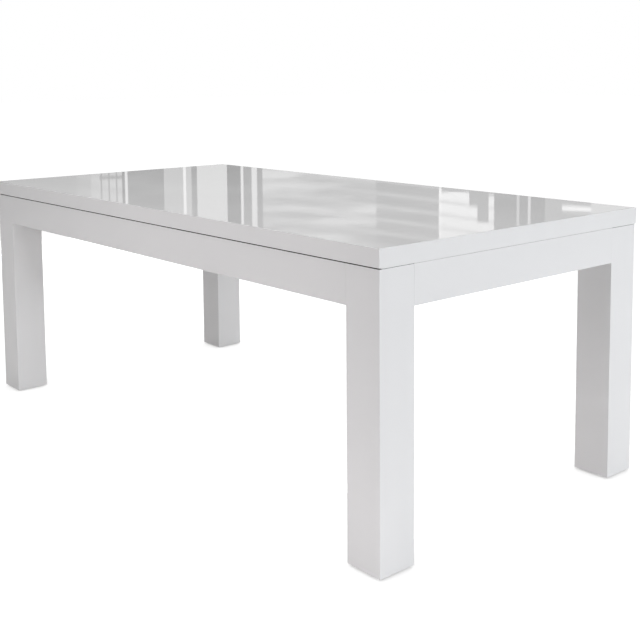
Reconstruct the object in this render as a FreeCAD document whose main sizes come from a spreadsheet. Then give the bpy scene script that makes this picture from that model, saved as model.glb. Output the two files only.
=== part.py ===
import FreeCAD, Part
import os
import re
import Sketcher

# Dining table with a thick slab top on a frame of flush aprons and four square hollow legs.
# The origin is on the floor under the middle of the table: X runs along the table, Y across it, Z up.
# Lengths are in millimetres.

# Driving dimensions: alias, size, meaning
SIZES = (
    ("table_height", 760, "floor to the upper face of the top"),
    ("top_length", 2000, "slab along X"),
    ("top_width", 1000, "slab along Y"),
    ("top_panel_thickness", 25, "full panel of the slab"),
    ("top_edge_round", 1.5, "rounding round the upper face"),
    ("edge_strip_thickness", 20, "strips that build up the slab's edge"),
    ("edge_strip_width", 90, "edge strips, across their length"),
    ("cross_strip_width", 90, "strips over the cross rails"),
    ("top_overhang", 3, "slab past the frame, all round"),
    ("shadow_gap", 2, "slab above the aprons and legs"),
    ("apron_height", 97, "apron boards"),
    ("apron_thickness", 22, "apron boards"),
    ("apron_edge_round", 0.6, "rounding of the outer edges"),
    ("leg_width", 110, "square leg, outside"),
    ("leg_wall", 18, "boards of the hollow leg"),
    ("leg_edge_round", 1, "rounding of the leg's outer edges"),
    ("leg_corner_cut", 28, "flat cut on the inner corner, along each face"),
    ("leg_corner_cut_height", 90, "flat cut, down from the leg's top"),
    ("core_length", 160, "block inside the leg's top"),
    ("plug_thickness", 18, "block inside the leg's foot"),
    ("glide_height", 5, "glide under the leg"),
    ("glide_diameter", 40, "glide under the leg"),
    ("glide_chamfer", 1, "lower rim of the glide"),
    ("glide_recess", 3.2, "recess for the screw's head"),
    ("glide_screw_length", 25, "under the head"),
    ("cleat_width", 25, "batten inside the apron, across"),
    ("cleat_height", 35, "batten inside the apron, up"),
    ("cleat_end_gap", 20, "corner bracket to the cleat's end"),
    ("cleat_screw_length", 38, "cleat to apron"),
    ("top_screw_length", 50, "cleat to slab"),
    ("rail_thickness", 22, "cross rail along X"),
    ("rail_height", 60, "cross rail"),
    ("rail_spacing", 600, "middle to middle of the two cross rails"),
    ("rail_notch_clearance", 1, "notch round the cleat"),
    ("angle_leg", 35, "steel angle at the rail's end"),
    ("angle_height", 20, "steel angle"),
    ("angle_thickness", 2, "steel angle"),
    ("angle_hole_inset", 8, "outer hole from the angle's end"),
    ("angle_hole_spacing", 12, "hole to hole on the angle"),
    ("angle_lift", 2, "angle above the rail's lower edge"),
    ("bracket_thickness", 2.5, "folded corner bracket"),
    ("bracket_height", 70, "folded corner bracket"),
    ("bracket_wing", 40, "wing along the apron"),
    ("bracket_hook", 8, "hook into the apron's kerf"),
    ("bracket_bend", 2.5, "inner bend radius"),
    ("bracket_draw_gap", 4, "leg's flat cut to the bracket's web"),
    ("bracket_screw_spacing", 44, "screws on a wing, up"),
    ("kerf_clearance", 0.5, "saw kerf round the hook"),
    ("bolt_diameter", 8, "hanger bolt"),
    ("bolt_embed", 55, "hanger bolt in the leg"),
    ("bolt_point", 10, "tapered end in the leg"),
    ("bolt_tail", 25, "hanger bolt out of the leg"),
    ("bolt_spacing", 40, "two bolts, up"),
    ("bolt_hole_clearance", 0.5, "bracket's holes, radial"),
    ("washer_diameter", 20, "washer on the bolt"),
    ("washer_thickness", 1.6, "washer on the bolt"),
    ("nut_flats", 13, "nut across its flats"),
    ("nut_height", 6.5, "nut on the bolt"),
    ("dowel_diameter", 8, "apron to leg"),
    ("dowel_length", 40, "half in the apron, half in the leg"),
    ("dowel_chamfer", 1, "dowel's ends"),
    ("dowel_spacing", 50, "two dowels, up"),
    ("screw_diameter", 4, "all wood screws"),
    ("screw_head_diameter", 8, "all wood screws"),
    ("screw_head_height", 2.4, "pan head"),
    ("screw_point", 4, "tapered end"),
    ("short_screw_length", 16, "steel to wood, under the head"),
    ("hole_clearance", 0.1, "pilot and clearance holes, radial"),
    ("hole_end_gap", 1, "blind hole past what it holds"),
    ("cut_overrun", 1, "cuts past the face they open"),
)
ALIASES = re.compile(r"\b(" + "|".join(alias for alias, _, _ in SIZES) + r")\b")

# Screw places along a cleat, as shares of half its length from the middle
LONG_CLEAT_SCREW_SHARES = (0.22, 0.9)
SHORT_CLEAT_SCREW_SHARES = (0.8,)
LONG_TOP_SCREW_SHARES = (0.12, 0.75)
SHORT_TOP_SCREW_SHARES = (0.5,)

# Levels above the floor
SLAB_BOTTOM = "(table_height - top_panel_thickness - edge_strip_thickness)"
LEG_TOP = f"({SLAB_BOTTOM} - shadow_gap)"
LEG_HEIGHT = f"({LEG_TOP} - glide_height)"
APRON_BOTTOM = f"({LEG_TOP} - apron_height)"
APRON_MIDDLE = f"({LEG_TOP} - apron_height / 2)"
CLEAT_BOTTOM = f"({SLAB_BOTTOM} - cleat_height)"
CLEAT_MIDDLE = f"({SLAB_BOTTOM} - cleat_height / 2)"
RAIL_BOTTOM = f"({SLAB_BOTTOM} - rail_height)"
ANGLE_BOTTOM = f"({RAIL_BOTTOM} + angle_lift)"
ANGLE_MIDDLE = f"({ANGLE_BOTTOM} + angle_height / 2)"

# Outline of the frame, over the legs' outer faces
FRAME_LENGTH = "(top_length - 2 * top_overhang)"
FRAME_WIDTH = "(top_width - 2 * top_overhang)"

# Places along an apron, from the leg's outer corner. The bracket's web crosses the corner at 45 degrees.
CUT_MIDDLE = "(leg_width - leg_corner_cut / 2)"
WEB_FACE = f"({CUT_MIDDLE} + bracket_draw_gap / sqrt(2))"
WEB_BACK = f"({WEB_FACE} + bracket_thickness / sqrt(2))"
WASHER_BACK = f"({WEB_BACK} + washer_thickness / sqrt(2))"
WING_FACE = "apron_thickness"
WING_BACK = "(apron_thickness + bracket_thickness)"
WING_START = f"(2 * {WEB_FACE} - {WING_FACE})"
WING_BACK_START = f"(2 * {WEB_BACK} - {WING_BACK})"
WING_MIDDLE = f"({WING_START} + bracket_wing / 2)"
HOOK = f"({WING_START} + bracket_wing)"
HOOK_BACK = f"({HOOK} + bracket_thickness)"
CLEAT_START = f"({HOOK_BACK} + cleat_end_gap)"

# Sizes of the holes
PILOT = "(screw_diameter + 2 * hole_clearance)"
SCREW_HEAD_HOLE = "(screw_head_diameter + 2 * hole_clearance)"
DOWEL_HOLE = "(dowel_diameter + 2 * hole_clearance)"
BOLT_HOLE = "(bolt_diameter + 2 * hole_clearance)"
BRACKET_BOLT_HOLE = "(bolt_diameter + 2 * bolt_hole_clearance)"
DOWEL_DEPTH = "(dowel_length / 2 + hole_end_gap)"
SHORT_SCREW_DEPTH = "(short_screw_length + hole_end_gap)"
TOP_SCREW_DEPTH = "(top_screw_length - cleat_height + hole_end_gap)"

BOLT_LEVELS = (f"({APRON_MIDDLE} - bolt_spacing / 2)", f"({APRON_MIDDLE} + bolt_spacing / 2)")
DOWEL_LEVELS = (f"({APRON_MIDDLE} - dowel_spacing / 2)", f"({APRON_MIDDLE} + dowel_spacing / 2)")
BRACKET_SCREW_LEVELS = (
    f"({APRON_MIDDLE} - bracket_screw_spacing / 2)",
    f"({APRON_MIDDLE} + bracket_screw_spacing / 2)",
)
ANGLE_HOLES = ("(angle_leg - angle_hole_inset)", "(angle_leg - angle_hole_inset - angle_hole_spacing)")

# Corners in turn round the table: name, side of X, side of Y, turn. From each corner one apron runs along the
# corner's own X axis, and its own Y axis points into the table.
CORNERS = (
    ("front_left", -1, -1, 0),
    ("front_right", 1, -1, 90),
    ("back_right", 1, 1, 180),
    ("back_left", -1, 1, 270),
)
# Sides in the same turn, each from the corner in the same place: name, frame length, slab length
SIDES = (
    ("front", FRAME_LENGTH, "top_length"),
    ("right", FRAME_WIDTH, "top_width"),
    ("back", FRAME_LENGTH, "top_length"),
    ("left", FRAME_WIDTH, "top_width"),
)

TOLERANCE = 1e-6
Z_AXIS = FreeCAD.Vector(0, 0, 1)

doc = FreeCAD.newDocument("dining_table")
sheet = doc.addObject("Spreadsheet::Sheet", "Sizes")
for row, (alias, size, meaning) in enumerate(SIZES, 1):
    sheet.set(f"A{row}", alias)
    sheet.set(f"B{row}", str(size))
    sheet.set(f"C{row}", meaning)
    sheet.setAlias(f"B{row}", alias)
doc.recompute()

nodes = []


# Helpers: binding, sketches and features

def bind(target, prop, formula):
    """Ties a property to a formula of the sheet's aliases."""
    target.setExpression(prop, ALIASES.sub(r"Sizes.\1", formula))


def place(target, x="0", y="0", z="0", turn=0, points_to=None):
    """Ties a piece's place to formulas. It is turned about Z, or its own Z axis points along a direction."""
    if points_to:
        rotation = FreeCAD.Rotation(Z_AXIS, FreeCAD.Vector(*points_to))
    else:
        rotation = FreeCAD.Rotation(Z_AXIS, turn)
    target.Placement = FreeCAD.Placement(FreeCAD.Vector(), rotation)
    for axis, formula in (("x", x), ("y", y), ("z", z)):
        bind(target, f"Placement.Base.{axis}", formula)


def place_at_corner(target, side_x, side_y, turn, length=FRAME_LENGTH, width=FRAME_WIDTH):
    """Puts a piece drawn from its own corner at one corner of the frame or of the slab."""
    place(target, f"{side_x} * {length} / 2", f"{side_y} * {width} / 2", turn=turn)


def new_body(label):
    return doc.addObject("PartDesign::Body", label)


def new_sketch(body, plane, level="0"):
    """A sketch on one of the body's own planes, moved to a level along the axis that the plane faces."""
    sketch = body.newObject("Sketcher::SketchObject", f"{body.Name}_sketch")
    support = next(feature for feature in body.Origin.OriginFeatures if feature.Role == f"{plane}_Plane")
    sketch.AttachmentSupport = [(support, "")]
    sketch.MapMode = "FlatFace"
    bind(sketch, "AttachmentOffset.Base.z", f"-{level}" if plane == "XZ" else level)
    return sketch


def new_diagonal_sketch(body, distance):
    """An upright sketch square to the corner's diagonal, at equal X and Y distances from the corner."""
    sketch = new_sketch(body, "XZ", distance)
    facing_in = FreeCAD.Rotation(FreeCAD.Vector(0, 1, 0), 135)
    sketch.AttachmentOffset = FreeCAD.Placement(FreeCAD.Vector(), facing_in)
    bind(sketch, "AttachmentOffset.Base.x", distance)
    bind(sketch, "AttachmentOffset.Base.z", f"-{distance}")
    return sketch


def fix_point(sketch, geometry, point, start, formulas):
    """Ties one point of a sketch to its two coordinates, from a rough start."""
    for kind, rough, formula in zip(("DistanceX", "DistanceY"), start, formulas):
        made = sketch.addConstraint(Sketcher.Constraint(kind, -1, 1, geometry, point, rough))
        bind(sketch, f"Constraints[{made}]", formula)


def draw_outline(sketch, corners):
    """A closed outline of straight lines. Its corners start on a parabola and move to their bound places."""
    rough = [FreeCAD.Vector(step, step * step, 0) for step in range(1, len(corners) + 1)]
    first = sketch.GeometryCount
    for here, there in zip(rough, rough[1:] + rough[:1]):
        sketch.addGeometry(Part.LineSegment(here, there), False)
    last = sketch.GeometryCount - 1
    for line in range(first, last + 1):
        following = first if line == last else line + 1
        sketch.addConstraint(Sketcher.Constraint("Coincident", line, 2, following, 1))
    for step, formulas in enumerate(corners):
        fix_point(sketch, first + step, 1, (rough[step].x, rough[step].y), formulas)


def draw_box(sketch, low, high):
    draw_outline(sketch, (low, (high[0], low[1]), high, (low[0], high[1])))


def draw_circles(sketch, centres, diameter):
    """Circles of one diameter. Each starts as a unit circle and moves to its bound place."""
    for step, formulas in enumerate(centres, 1):
        circle = sketch.addGeometry(Part.Circle(FreeCAD.Vector(step, step, 0), Z_AXIS, 1), False)
        fix_point(sketch, circle, 3, (step, step), formulas)
        made = sketch.addConstraint(Sketcher.Constraint("Diameter", circle, 2))
        bind(sketch, f"Constraints[{made}]", diameter)


def pad(body, sketch, length):
    feature = body.newObject("PartDesign::Pad", f"{body.Name}_pad")
    feature.Profile = sketch
    bind(feature, "Length", length)
    doc.recompute()
    return feature


def cut(body, sketch, depth, along_normal=False):
    """A pocket against the sketch's normal, or along it. A pocket that meets no material is an error."""
    before = body.Shape.Volume
    feature = body.newObject("PartDesign::Pocket", f"{body.Name}_pocket")
    feature.Profile = sketch
    feature.Reversed = along_normal
    bind(feature, "Length", depth)
    doc.recompute()
    if body.Shape.Volume > before - TOLERANCE:
        raise RuntimeError(f"{body.Label}: a pocket cuts nothing")
    return feature


def drill(body, plane, level, centres, diameter, depth, along_normal=False):
    sketch = new_sketch(body, plane, level)
    draw_circles(sketch, centres, diameter)
    cut(body, sketch, depth, along_normal)


def drill_countersunk(body, plane, level, centres, along_normal=False):
    """Through holes with a conical seat for a flat screw head in the sketched face."""
    sketch = new_sketch(body, plane, level)
    draw_circles(sketch, centres, PILOT)
    doc.recompute()
    before = body.Shape.Volume
    hole = body.newObject("PartDesign::Hole", f"{body.Name}_hole")
    hole.Profile = sketch
    doc.recompute()
    hole.Reversed = along_normal
    hole.DepthType = "ThroughAll"
    hole.HoleCutType = "Countersink"
    bind(hole, "Diameter", PILOT)
    bind(hole, "HoleCutDiameter", SCREW_HEAD_HOLE)
    hole.HoleCutCountersinkAngle = 90
    doc.recompute()
    if body.Shape.Volume > before - TOLERANCE:
        raise RuntimeError(f"{body.Label}: a hole cuts nothing")


def round_edges(body, feature, radius, wanted):
    """A fillet on the edges of the body's latest feature for which wanted is true."""
    names = [f"Edge{count}" for count, edge in enumerate(feature.Shape.Edges, 1) if wanted(edge)]
    fillet = body.newObject("PartDesign::Fillet", f"{body.Name}_fillet")
    fillet.Base = (feature, names)
    bind(fillet, "Radius", radius)
    doc.recompute()
    return fillet


def runs_up(edge):
    """Whether a straight edge is parallel to Z."""
    first, last = (vertex.Point for vertex in edge.Vertexes)
    return abs(first.x - last.x) < TOLERANCE and abs(first.y - last.y) < TOLERANCE


def lies_at_level(level):
    """A test for edges whose ends are both at that height."""
    return lambda edge: all(abs(vertex.Z - level) < TOLERANCE for vertex in edge.Vertexes)


def runs_up_at(sketch, steps):
    """A test for upright edges that stand on the numbered corners of a sketched outline."""
    corners = [sketch.Geometry[step].StartPoint for step in steps]

    def wanted(edge):
        if not runs_up(edge):
            return False
        here = edge.Vertexes[0]
        return any(abs(here.X - at.x) < TOLERANCE and abs(here.Y - at.y) < TOLERANCE for at in corners)

    return wanted


def keep(piece):
    """Marks an object as one of the table's own pieces."""
    nodes.append(piece)
    return piece


# Top slab: a full panel on a frame of mitred strips, with two more strips across it

def make_top_panel():
    body = keep(new_body("top_panel"))
    outline = new_sketch(body, "XY", "(table_height - top_panel_thickness)")
    draw_box(outline, ("0", "0"), ("top_length", "top_width"))
    slab = pad(body, outline, "top_panel_thickness")
    round_edges(body, slab, "top_edge_round", lies_at_level(slab.Shape.BoundBox.ZMax))
    place(body, "-top_length / 2", "-top_width / 2")


def make_edge_strip(side, length, screw_shares, corner):
    """One mitred strip. The top screws bite into its lower face."""
    body = keep(new_body(f"top_edge_strip_{side}"))
    outline = new_sketch(body, "XY", SLAB_BOTTOM)
    far_mitre = f"{length} - edge_strip_width"
    draw_outline(outline, (
        ("0", "0"), (length, "0"), (far_mitre, "edge_strip_width"), ("edge_strip_width", "edge_strip_width"),
    ))
    pad(body, outline, "edge_strip_thickness")
    cleat_half = f"({length} / 2 - top_overhang - {CLEAT_START})"
    across = "top_overhang + apron_thickness + cleat_width / 2"
    centres = [
        (f"{length} / 2 + {sign * share} * {cleat_half}", across)
        for share in screw_shares
        for sign in (-1, 1)
    ]
    drill(body, "XY", SLAB_BOTTOM, centres, PILOT, TOP_SCREW_DEPTH, along_normal=True)
    _, side_x, side_y, turn = corner
    place_at_corner(body, side_x, side_y, turn, "top_length", "top_width")


def make_cross_strip(side, side_x):
    strip = keep(doc.addObject("Part::Box", f"top_cross_strip_{side}"))
    bind(strip, "Length", "cross_strip_width")
    bind(strip, "Width", "top_width - 2 * edge_strip_width")
    bind(strip, "Height", "edge_strip_thickness")
    place(
        strip,
        f"{side_x} * rail_spacing / 2 - cross_strip_width / 2",
        "edge_strip_width - top_width / 2",
        SLAB_BOTTOM,
    )


# Frame: aprons, and the cleats inside them that carry the slab

def make_apron(side, length, screw_shares, has_rails, corner):
    """An apron board between two legs, with kerfs for the bracket hooks and all its drilled holes."""
    body = keep(new_body(f"apron_{side}"))
    outline = new_sketch(body, "XY", APRON_BOTTOM)
    draw_box(outline, ("leg_width", "0"), (f"{length} - leg_width", "apron_thickness"))
    board = pad(body, outline, "apron_height")
    outer = board.Shape.BoundBox.YMin
    round_edges(
        body, board, "apron_edge_round",
        lambda edge: all(abs(vertex.Y - outer) < TOLERANCE for vertex in edge.Vertexes),
    )

    # The mouth of each kerf is eased on the leg's side, where the hook's bend is
    kerfs = new_sketch(body, "XY", LEG_TOP)
    kerf_floor = "apron_thickness - bracket_hook - kerf_clearance"
    kerf_mouth = "apron_thickness + cut_overrun"
    near, far = f"({HOOK} - kerf_clearance)", f"({HOOK_BACK} + kerf_clearance)"
    eased = f"({near} - bracket_bend)"
    kerf = (
        (near, kerf_floor), (far, kerf_floor), (far, kerf_mouth), (eased, kerf_mouth),
        (eased, "apron_thickness"), (near, "apron_thickness - bracket_bend"),
    )
    draw_outline(kerfs, kerf)
    draw_outline(kerfs, [(f"{length} - {x}", y) for x, y in kerf])
    cut(body, kerfs, "apron_height")

    dowels = [("apron_thickness / 2", level) for level in DOWEL_LEVELS]
    drill(body, "YZ", "leg_width", dowels, DOWEL_HOLE, DOWEL_DEPTH, along_normal=True)
    drill(body, "YZ", f"({length} - leg_width)", dowels, DOWEL_HOLE, DOWEL_DEPTH)

    bracket_screws = [
        (place_along, level)
        for place_along in (WING_MIDDLE, f"{length} - {WING_MIDDLE}")
        for level in BRACKET_SCREW_LEVELS
    ]
    drill(
        body, "XZ", "apron_thickness", bracket_screws, PILOT,
        f"{SHORT_SCREW_DEPTH} - bracket_thickness", along_normal=True,
    )

    cleat_screws = [
        (f"{length} / 2 + {sign * share} * ({length} / 2 - {CLEAT_START})", CLEAT_MIDDLE)
        for share in screw_shares
        for sign in (-1, 1)
    ]
    drill(
        body, "XZ", "apron_thickness", cleat_screws, PILOT,
        "cleat_screw_length - cleat_width + hole_end_gap", along_normal=True,
    )

    if has_rails:
        rail_face = "(rail_spacing / 2 + rail_thickness / 2)"
        angle_screws = [
            (f"{length} / 2 + {sign} * ({rail_face} + {hole})", ANGLE_MIDDLE)
            for hole in ANGLE_HOLES
            for sign in (-1, 1)
        ]
        drill(
            body, "XZ", "apron_thickness", angle_screws, PILOT,
            f"{SHORT_SCREW_DEPTH} - angle_thickness", along_normal=True,
        )
    place_at_corner(body, *corner[1:])


def make_cleat(side, length, cleat_shares, top_shares, corner):
    """A batten screwed to the apron and to the slab. It stands above the apron by the shadow gap."""
    body = keep(new_body(f"cleat_{side}"))
    inner_face = "(apron_thickness + cleat_width)"
    outline = new_sketch(body, "XY", CLEAT_BOTTOM)
    draw_box(outline, (CLEAT_START, "apron_thickness"), (f"{length} - {CLEAT_START}", inner_face))
    pad(body, outline, "cleat_height")

    def along(shares):
        half = f"({length} / 2 - {CLEAT_START})"
        return [f"{length} / 2 + {sign * share} * {half}" for share in shares for sign in (-1, 1)]

    to_apron = [(x, CLEAT_MIDDLE) for x in along(cleat_shares)]
    drill_countersunk(body, "XZ", inner_face, to_apron, along_normal=True)
    to_slab = [(x, "apron_thickness + cleat_width / 2") for x in along(top_shares)]
    drill_countersunk(body, "XY", CLEAT_BOTTOM, to_slab, along_normal=True)
    place_at_corner(body, *corner[1:])


# Legs: a hollow box of boards with a core block, a foot plug and a glide

def drill_bolt_holes(body):
    """The two holes that the hanger bolts go into, from the flat cut towards the leg's outer corner."""
    sketch = new_diagonal_sketch(body, CUT_MIDDLE)
    draw_circles(sketch, [("0", level) for level in BOLT_LEVELS], BOLT_HOLE)
    cut(body, sketch, "bolt_embed + hole_end_gap")


def make_leg(corner):
    body = keep(new_body(f"leg_{corner[0]}"))
    outline = new_sketch(body, "XY", "glide_height")
    draw_box(outline, ("0", "0"), ("leg_width", "leg_width"))
    box = pad(body, outline, LEG_HEIGHT)
    at_foot = lies_at_level(box.Shape.BoundBox.ZMin)
    round_edges(body, box, "leg_edge_round", lambda edge: runs_up(edge) or at_foot(edge))

    hollow = new_sketch(body, "XY", "glide_height")
    draw_box(hollow, ("leg_wall", "leg_wall"), ("leg_width - leg_wall", "leg_width - leg_wall"))
    cut(body, hollow, LEG_HEIGHT, along_normal=True)

    corner_cut = new_sketch(body, "XY", LEG_TOP)
    past, short = "leg_width + cut_overrun", "leg_width - leg_corner_cut - cut_overrun"
    draw_outline(corner_cut, ((past, short), (past, past), (short, past)))
    cut(body, corner_cut, "leg_corner_cut_height")

    drill_bolt_holes(body)
    dowels = [("apron_thickness / 2", level) for level in DOWEL_LEVELS]
    drill(body, "YZ", "leg_width", dowels, DOWEL_HOLE, DOWEL_DEPTH)
    drill(body, "XZ", "leg_width", dowels, DOWEL_HOLE, DOWEL_DEPTH, along_normal=True)
    place_at_corner(body, *corner[1:])


def make_leg_core(corner):
    """The block glued into the leg's top, which the hanger bolts bite into."""
    body = keep(new_body(f"leg_core_{corner[0]}"))
    outline = new_sketch(body, "XY", f"({LEG_TOP} - core_length)")
    draw_box(outline, ("leg_wall", "leg_wall"), ("leg_width - leg_wall", "leg_width - leg_wall"))
    pad(body, outline, "core_length")
    drill_bolt_holes(body)
    place_at_corner(body, *corner[1:])


def make_leg_plug(corner):
    """The block glued into the leg's foot, which the glide is screwed to."""
    body = keep(new_body(f"leg_plug_{corner[0]}"))
    outline = new_sketch(body, "XY", "glide_height")
    draw_box(outline, ("leg_wall", "leg_wall"), ("leg_width - leg_wall", "leg_width - leg_wall"))
    pad(body, outline, "plug_thickness")
    middle = ("leg_width / 2", "leg_width / 2")
    drill(body, "XY", "glide_height", [middle], PILOT, "plug_thickness", along_normal=True)
    place_at_corner(body, *corner[1:])


def make_turned(label, profile):
    """A body of revolution about its own Z axis, from an outline of radius and height."""
    body = new_body(label)
    sketch = new_sketch(body, "XZ")
    draw_outline(sketch, profile)
    feature = body.newObject("PartDesign::Revolution", f"{body.Name}_revolution")
    feature.Profile = sketch
    feature.ReferenceAxis = (sketch, ["V_Axis"])
    feature.Angle = 360
    doc.recompute()
    return body


def make_glide(corner):
    name, side_x, side_y, _ = corner
    bore, recess, rim = f"{PILOT} / 2", f"{SCREW_HEAD_HOLE} / 2", "glide_diameter / 2"
    glide = keep(make_turned(f"glide_{name}", (
        (bore, "glide_recess"), (recess, "glide_recess"), (recess, "0"), (f"{rim} - glide_chamfer", "0"),
        (rim, "glide_chamfer"), (rim, "glide_height"), (bore, "glide_height"),
    )))
    place(
        glide,
        f"{side_x} * ({FRAME_LENGTH} / 2 - leg_width / 2)",
        f"{side_y} * ({FRAME_WIDTH} / 2 - leg_width / 2)",
    )


# Corner brackets: a web across the corner, a wing along each apron and a hook into each kerf

def make_corner_bracket(corner):
    body = keep(new_body(f"corner_bracket_{corner[0]}"))
    hook_end = f"{WING_FACE} - bracket_hook"
    half = [
        (HOOK_BACK, hook_end), (HOOK, hook_end), (HOOK, WING_FACE), (WING_START, WING_FACE),
        (WING_BACK_START, WING_BACK), (HOOK_BACK, WING_BACK),
    ]
    first, second = half[:4], half[4:]
    mirrored_first = [(y, x) for x, y in reversed(first)]
    mirrored_second = [(y, x) for x, y in reversed(second)]
    profile = first + mirrored_first + mirrored_second + second
    outline = new_sketch(body, "XY", f"({APRON_MIDDLE} - bracket_height / 2)")
    draw_outline(outline, profile)
    folded = pad(body, outline, "bracket_height")
    inner_corners = (half[2], half[4], mirrored_first[1], mirrored_second[1])
    outer_corners = (half[3], half[5], mirrored_first[0], mirrored_second[0])
    inner_bends = [profile.index(point) for point in inner_corners]
    outer_bends = [profile.index(point) for point in outer_corners]
    inside = round_edges(body, folded, "bracket_bend", runs_up_at(outline, inner_bends))
    round_edges(body, inside, "bracket_bend + bracket_thickness", runs_up_at(outline, outer_bends))

    web_holes = new_diagonal_sketch(body, WEB_BACK)
    draw_circles(web_holes, [("0", level) for level in BOLT_LEVELS], BRACKET_BOLT_HOLE)
    cut(body, web_holes, "bracket_thickness")
    wing_holes = [(WING_MIDDLE, level) for level in BRACKET_SCREW_LEVELS]
    drill(body, "XZ", WING_BACK, wing_holes, PILOT, "bracket_thickness", along_normal=True)
    drill(body, "YZ", WING_BACK, wing_holes, PILOT, "bracket_thickness")
    place_at_corner(body, *corner[1:])


# Cross rails and the steel angles at their ends

def make_cross_rail(side, side_x, turn):
    """A rail from apron to apron, notched round both cleats. Its angles are screwed to its outer face."""
    body = keep(new_body(f"cross_rail_{side}"))
    length = f"({FRAME_WIDTH} - 2 * apron_thickness)"
    notch = "(cleat_width + rail_notch_clearance)"
    shoulder = "(rail_height - cleat_height - rail_notch_clearance)"
    outline = new_sketch(body, "YZ")
    draw_outline(outline, (
        ("0", "0"), (length, "0"), (length, shoulder), (f"{length} - {notch}", shoulder),
        (f"{length} - {notch}", "rail_height"), (notch, "rail_height"), (notch, shoulder), ("0", shoulder),
    ))
    pad(body, outline, "rail_thickness")
    level = "(angle_lift + angle_height / 2)"
    holes = [(place_along, level) for hole in ANGLE_HOLES for place_along in (hole, f"{length} - {hole}")]
    drill(body, "YZ", "0", holes, PILOT, f"{SHORT_SCREW_DEPTH} - angle_thickness", along_normal=True)
    outer_face = f"{side_x} * (rail_spacing / 2 + rail_thickness / 2)"
    place(body, outer_face, f"{side_x} * {length} / 2", RAIL_BOTTOM, turn)


def make_rail_angle(name, side_x, side_y, turn):
    body = keep(new_body(f"rail_angle_{name}"))
    outline = new_sketch(body, "XY")
    draw_outline(outline, (
        ("0", "0"), ("angle_leg", "0"), ("angle_leg", "angle_thickness"),
        ("angle_thickness", "angle_thickness"), ("angle_thickness", "angle_leg"), ("0", "angle_leg"),
    ))
    pad(body, outline, "angle_height")
    holes = [(hole, "angle_height / 2") for hole in ANGLE_HOLES]
    drill(body, "XZ", "angle_thickness", holes, PILOT, "angle_thickness", along_normal=True)
    drill(body, "YZ", "angle_thickness", holes, PILOT, "angle_thickness")
    place(
        body,
        f"{side_x} * (rail_spacing / 2 + rail_thickness / 2)",
        f"{side_y} * ({FRAME_WIDTH} / 2 - apron_thickness)",
        ANGLE_BOTTOM,
        turn,
    )


# Fasteners: those of one quarter of the table are drawn, then mirrored to the other three

def pan_head_screw(label, length):
    """Its head rests at its own zero level, and it points up."""
    shank, head = "screw_diameter / 2", "screw_head_diameter / 2"
    return make_turned(label, (
        ("0", length), (shank, f"{length} - screw_point"), (shank, "0"), (head, "0"),
        (head, "-screw_head_height"), ("0", "-screw_head_height"),
    ))


def flat_head_screw(label, length):
    """The face of its head is at its own zero level, and it points up."""
    shank, head = "screw_diameter / 2", "screw_head_diameter / 2"
    return make_turned(label, (
        ("0", length), (shank, f"{length} - screw_point"), (shank, f"{head} - {shank}"),
        (head, "0"), ("0", "0"),
    ))


def mirror_to_corners(label, quarter):
    """One node of separate solids: the pieces of the front left quarter and their three mirror images."""
    pieces = quarter
    for normal in ((1, 0, 0), (0, 1, 0)):
        images = []
        for piece in pieces:
            image = doc.addObject("Part::Mirroring", f"{label}_image")
            image.Source = piece
            image.Normal = normal
            images.append(image)
        pieces = pieces + images
    group = doc.addObject("Part::Compound", label)
    group.Links = pieces
    keep(group)


def from_corner(x, y):
    """Formulas for a place given from the front left corner of the frame."""
    return f"{x} - {FRAME_LENGTH} / 2", f"{y} - {FRAME_WIDTH} / 2"


def make_hanger_bolts():
    radius, length = "bolt_diameter / 2", "bolt_embed + bolt_tail"
    bolts = []
    for level in BOLT_LEVELS:
        bolt = make_turned("hanger_bolt", (
            ("0", "0"), (radius, "bolt_point"), (radius, length), ("0", length),
        ))
        start = f"{CUT_MIDDLE} - bolt_embed / sqrt(2)"
        place(bolt, *from_corner(start, start), level, points_to=(1, 1, 0))
        bolts.append(bolt)
    mirror_to_corners("hanger_bolts", bolts)


def make_bolt_washers():
    bore, rim = f"{BRACKET_BOLT_HOLE} / 2", "washer_diameter / 2"
    washers = []
    for level in BOLT_LEVELS:
        washer = make_turned("bolt_washer", (
            (bore, "0"), (rim, "0"), (rim, "washer_thickness"), (bore, "washer_thickness"),
        ))
        place(washer, *from_corner(WEB_BACK, WEB_BACK), level, points_to=(1, 1, 0))
        washers.append(washer)
    mirror_to_corners("bolt_washers", washers)


def make_bolt_nuts():
    """Hexagon nuts. A bored hexagon is drawn from its width across flats."""
    nuts = []
    half, reach = "nut_flats / 2", "nut_flats / sqrt(3)"
    for level in BOLT_LEVELS:
        body = new_body("bolt_nut")
        hexagon = new_sketch(body, "XY")
        draw_outline(hexagon, (
            (reach, "0"), (f"{reach} / 2", half), (f"-{reach} / 2", half),
            (f"-{reach}", "0"), (f"-{reach} / 2", f"-{half}"), (f"{reach} / 2", f"-{half}"),
        ))
        draw_circles(hexagon, [("0", "0")], BOLT_HOLE)
        pad(body, hexagon, "nut_height")
        place(body, *from_corner(WASHER_BACK, WASHER_BACK), level, points_to=(1, 1, 0))
        nuts.append(body)
    mirror_to_corners("bolt_nuts", nuts)


def make_bracket_screws():
    screws = []
    for level in BRACKET_SCREW_LEVELS:
        for x, y, way in ((WING_MIDDLE, WING_BACK, (0, -1, 0)), (WING_BACK, WING_MIDDLE, (-1, 0, 0))):
            screw = pan_head_screw("bracket_screw", "short_screw_length")
            place(screw, *from_corner(x, y), level, points_to=way)
            screws.append(screw)
    mirror_to_corners("bracket_screws", screws)


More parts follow.
